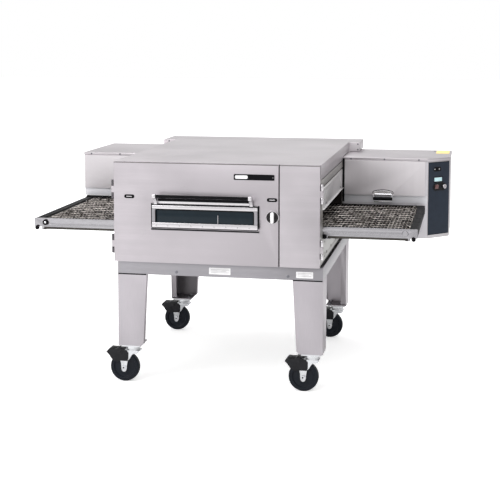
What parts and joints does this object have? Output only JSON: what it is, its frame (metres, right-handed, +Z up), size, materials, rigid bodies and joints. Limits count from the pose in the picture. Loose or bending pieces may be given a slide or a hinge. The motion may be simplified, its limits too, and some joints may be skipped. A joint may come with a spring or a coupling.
{
  "type": "conveyor pizza oven",
  "caption": "Stainless conveyor pizza oven on a castered stand, with a wire belt through the oven, a drop-down window door and rear side cabinets.",
  "frame": {"origin": "on the floor, under the middle of the outline", "axes": "+X along the belt, +Y from the front doors to the back, +Z up"},
  "size_m": [2.133, 1.614, 1.151],
  "materials": {
    "stainless": "brushed",
    "side_stainless": "brushed",
    "aluminised_steel": "satin",
    "bright_steel": "polished",
    "zinc_plate": "satin",
    "dark_steel": "satin",
    "belt_wire": "satin",
    "motor_paint": "satin",
    "black_plastic": "matte",
    "wheel_rubber": "matte",
    "oven_glass": "polished",
    "panel_film": "satin",
    "display_window": "gloss",
    "rocker_plastic": "gloss",
    "label_film": "satin"
  },
  "bodies": {
    "oven": {"stand_frame": "stainless", "legs": "stainless", "top_panel": "stainless", "rear_housing": "stainless", "left_cabinet": "stainless", "right_cabinet": "stainless", "control_housing": "stainless", "cabinet_lids": "stainless", "access_covers": "stainless", "oven_shell": "side_stainless", "chamber_liner": "aluminised_steel", "air_fingers": "aluminised_steel", "plenum": "aluminised_steel", "burner": "aluminised_steel", "conveyor_rails": "bright_steel", "hinge_pins": "bright_steel", "screws": "bright_steel", "caster_plates": "zinc_plate", "drive_chain": "dark_steel", "wire_belt": "belt_wire", "blower_motor": "motor_paint", "belt_motor": "motor_paint", "end_fittings": "black_plastic", "cable_gland": "black_plastic", "control_overlay": "panel_film", "display": "display_window", "blank_labels": "label_film"},
    "main_door": {"main_door": "stainless", "door_plug": "aluminised_steel", "window_gasket": "black_plastic", "door_plates": "black_plastic"},
    "window_door": {"window_frame": "bright_steel", "window_glass": "oven_glass", "window_handle": "black_plastic"},
    "latch": {"latch_knob": "bright_steel"},
    "side_door": {"side_door": "stainless"},
    "baffle_left": {"baffle_left": "side_stainless"},
    "baffle_right": {"baffle_right": "side_stainless"},
    "cover_bail": {"cover_handle": "black_plastic"},
    "rocker": {"power_rocker": "rocker_plastic"},
    "set_knob": {"control_knob": "bright_steel"},
    "blower": {"blower_wheel": "aluminised_steel"},
    "drive_shaft": {"drive_shaft": "dark_steel"},
    "idler_shaft": {"idler_shaft": "dark_steel"},
    "motor_shaft": {"motor_sprocket": "dark_steel"},
    "tray_left": {"crumb_tray_left": "stainless"},
    "tray_right": {"crumb_tray_right": "stainless"},
    "swivel_fl": {"fork_fl": "zinc_plate"},
    "roller_fl": {"wheel_fl": "wheel_rubber"},
    "brake_fl": {"pedal_fl": "black_plastic"},
    "swivel_fr": {"fork_fr": "zinc_plate"},
    "roller_fr": {"wheel_fr": "wheel_rubber"},
    "brake_fr": {"pedal_fr": "black_plastic"},
    "swivel_bl": {"fork_bl": "zinc_plate"},
    "roller_bl": {"wheel_bl": "wheel_rubber"},
    "brake_bl": {"pedal_bl": "black_plastic"},
    "swivel_br": {"fork_br": "zinc_plate"},
    "roller_br": {"wheel_br": "wheel_rubber"},
    "brake_br": {"pedal_br": "black_plastic"}
  },
  "joints": [
    {"name": "main_door_swing", "type": "hinge", "parent": "oven", "child": "main_door", "pos_m": [-0.585, -0.741, 0.9], "axis": [0, 0, -1], "range_deg": [0, 90]},
    {"name": "side_door_swing", "type": "hinge", "parent": "oven", "child": "side_door", "pos_m": [0.475, -0.741, 0.9], "axis": [0, 0, 1], "range_deg": [0, 90]},
    {"name": "window_drop", "type": "hinge", "parent": "main_door", "child": "window_door", "pos_m": [-0.1075, -0.759, 0.829], "axis": [1, 0, 0], "range_deg": [0, 90]},
    {"name": "latch_turn", "type": "hinge", "parent": "main_door", "child": "latch", "pos_m": [0.233, -0.752, 0.891], "axis": [0, -1, 0], "range_deg": [0, 90]},
    {"name": "baffle_left_slide", "type": "slide", "parent": "oven", "child": "baffle_left", "axis": [0, 0, 1], "range_m": [-0.06, 0.004]},
    {"name": "baffle_right_slide", "type": "slide", "parent": "oven", "child": "baffle_right", "axis": [0, 0, 1], "range_m": [-0.06, 0.004]},
    {"name": "cover_handle_fold", "type": "hinge", "parent": "oven", "child": "cover_bail", "pos_m": [0.6965, 0.199, 0.888], "axis": [-1, 0, 0], "range_deg": [0, 90]},
    {"name": "rocker_tilt", "type": "hinge", "parent": "oven", "child": "rocker", "pos_m": [0.99344, 0.26507, 0.931], "axis": [-0.7071, -0.7071, 0], "range_deg": [0, 14]},
    {"name": "set_knob_turn", "type": "hinge", "parent": "oven", "child": "set_knob", "pos_m": [1.02702, 0.30502, 0.931], "axis": [0.7071, -0.7071, 0], "range_deg": [0, 300]},
    {"name": "blower_spin", "type": "hinge", "parent": "oven", "child": "blower", "pos_m": [-0.055, 0.32, 0.88], "axis": [0, 1, 0], "continuous": true},
    {"name": "belt_drive", "type": "hinge", "parent": "oven", "child": "drive_shaft", "pos_m": [0.872, -0.21, 0.81], "axis": [0, 1, 0], "continuous": true},
    {"name": "belt_idler", "type": "hinge", "parent": "oven", "child": "idler_shaft", "pos_m": [-0.989, -0.21, 0.81], "axis": [0, 1, 0], "continuous": true},
    {"name": "motor_drive", "type": "hinge", "parent": "oven", "child": "motor_shaft", "pos_m": [0.872, 0.29, 0.95], "axis": [0, 1, 0], "continuous": true},
    {"name": "tray_left_pull", "type": "slide", "parent": "oven", "child": "tray_left", "axis": [0, -1, 0], "range_m": [0, 0.3]},
    {"name": "tray_right_pull", "type": "slide", "parent": "oven", "child": "tray_right", "axis": [0, -1, 0], "range_m": [0, 0.3]},
    {"name": "swivel_fl", "type": "hinge", "parent": "oven", "child": "swivel_fl", "pos_m": [-0.513, -0.651, 0.17], "axis": [0, 0, 1], "continuous": true},
    {"name": "roll_fl", "type": "hinge", "parent": "swivel_fl", "child": "roller_fl", "pos_m": [-0.555, -0.651, 0.076], "axis": [0, 1, 0], "continuous": true},
    {"name": "brake_fl", "type": "hinge", "parent": "swivel_fl", "child": "brake_fl", "pos_m": [-0.573, -0.651, 0.155], "axis": [0, -1, 0], "range_deg": [0, 8]},
    {"name": "swivel_fr", "type": "hinge", "parent": "oven", "child": "swivel_fr", "pos_m": [0.418, -0.651, 0.17], "axis": [0, 0, 1], "continuous": true},
    {"name": "roll_fr", "type": "hinge", "parent": "swivel_fr", "child": "roller_fr", "pos_m": [0.376, -0.651, 0.076], "axis": [0, 1, 0], "continuous": true},
    {"name": "brake_fr", "type": "hinge", "parent": "swivel_fr", "child": "brake_fr", "pos_m": [0.358, -0.651, 0.155], "axis": [0, -1, 0], "range_deg": [0, 8]},
    {"name": "swivel_bl", "type": "hinge", "parent": "oven", "child": "swivel_bl", "pos_m": [-0.513, 0.423, 0.17], "axis": [0, 0, 1], "continuous": true},
    {"name": "roll_bl", "type": "hinge", "parent": "swivel_bl", "child": "roller_bl", "pos_m": [-0.555, 0.423, 0.076], "axis": [0, 1, 0], "continuous": true},
    {"name": "brake_bl", "type": "hinge", "parent": "swivel_bl", "child": "brake_bl", "pos_m": [-0.573, 0.423, 0.155], "axis": [0, -1, 0], "range_deg": [0, 8]},
    {"name": "swivel_br", "type": "hinge", "parent": "oven", "child": "swivel_br", "pos_m": [0.418, 0.423, 0.17], "axis": [0, 0, 1], "continuous": true},
    {"name": "roll_br", "type": "hinge", "parent": "swivel_br", "child": "roller_br", "pos_m": [0.376, 0.423, 0.076], "axis": [0, 1, 0], "continuous": true},
    {"name": "brake_br", "type": "hinge", "parent": "swivel_br", "child": "brake_br", "pos_m": [0.358, 0.423, 0.155], "axis": [0, -1, 0], "range_deg": [0, 8]}
  ],
  "couplings": [
    {"joint": "belt_idler", "follows": "belt_drive", "ratio": 1},
    {"joint": "motor_drive", "follows": "belt_drive", "ratio": 1}
  ]
}
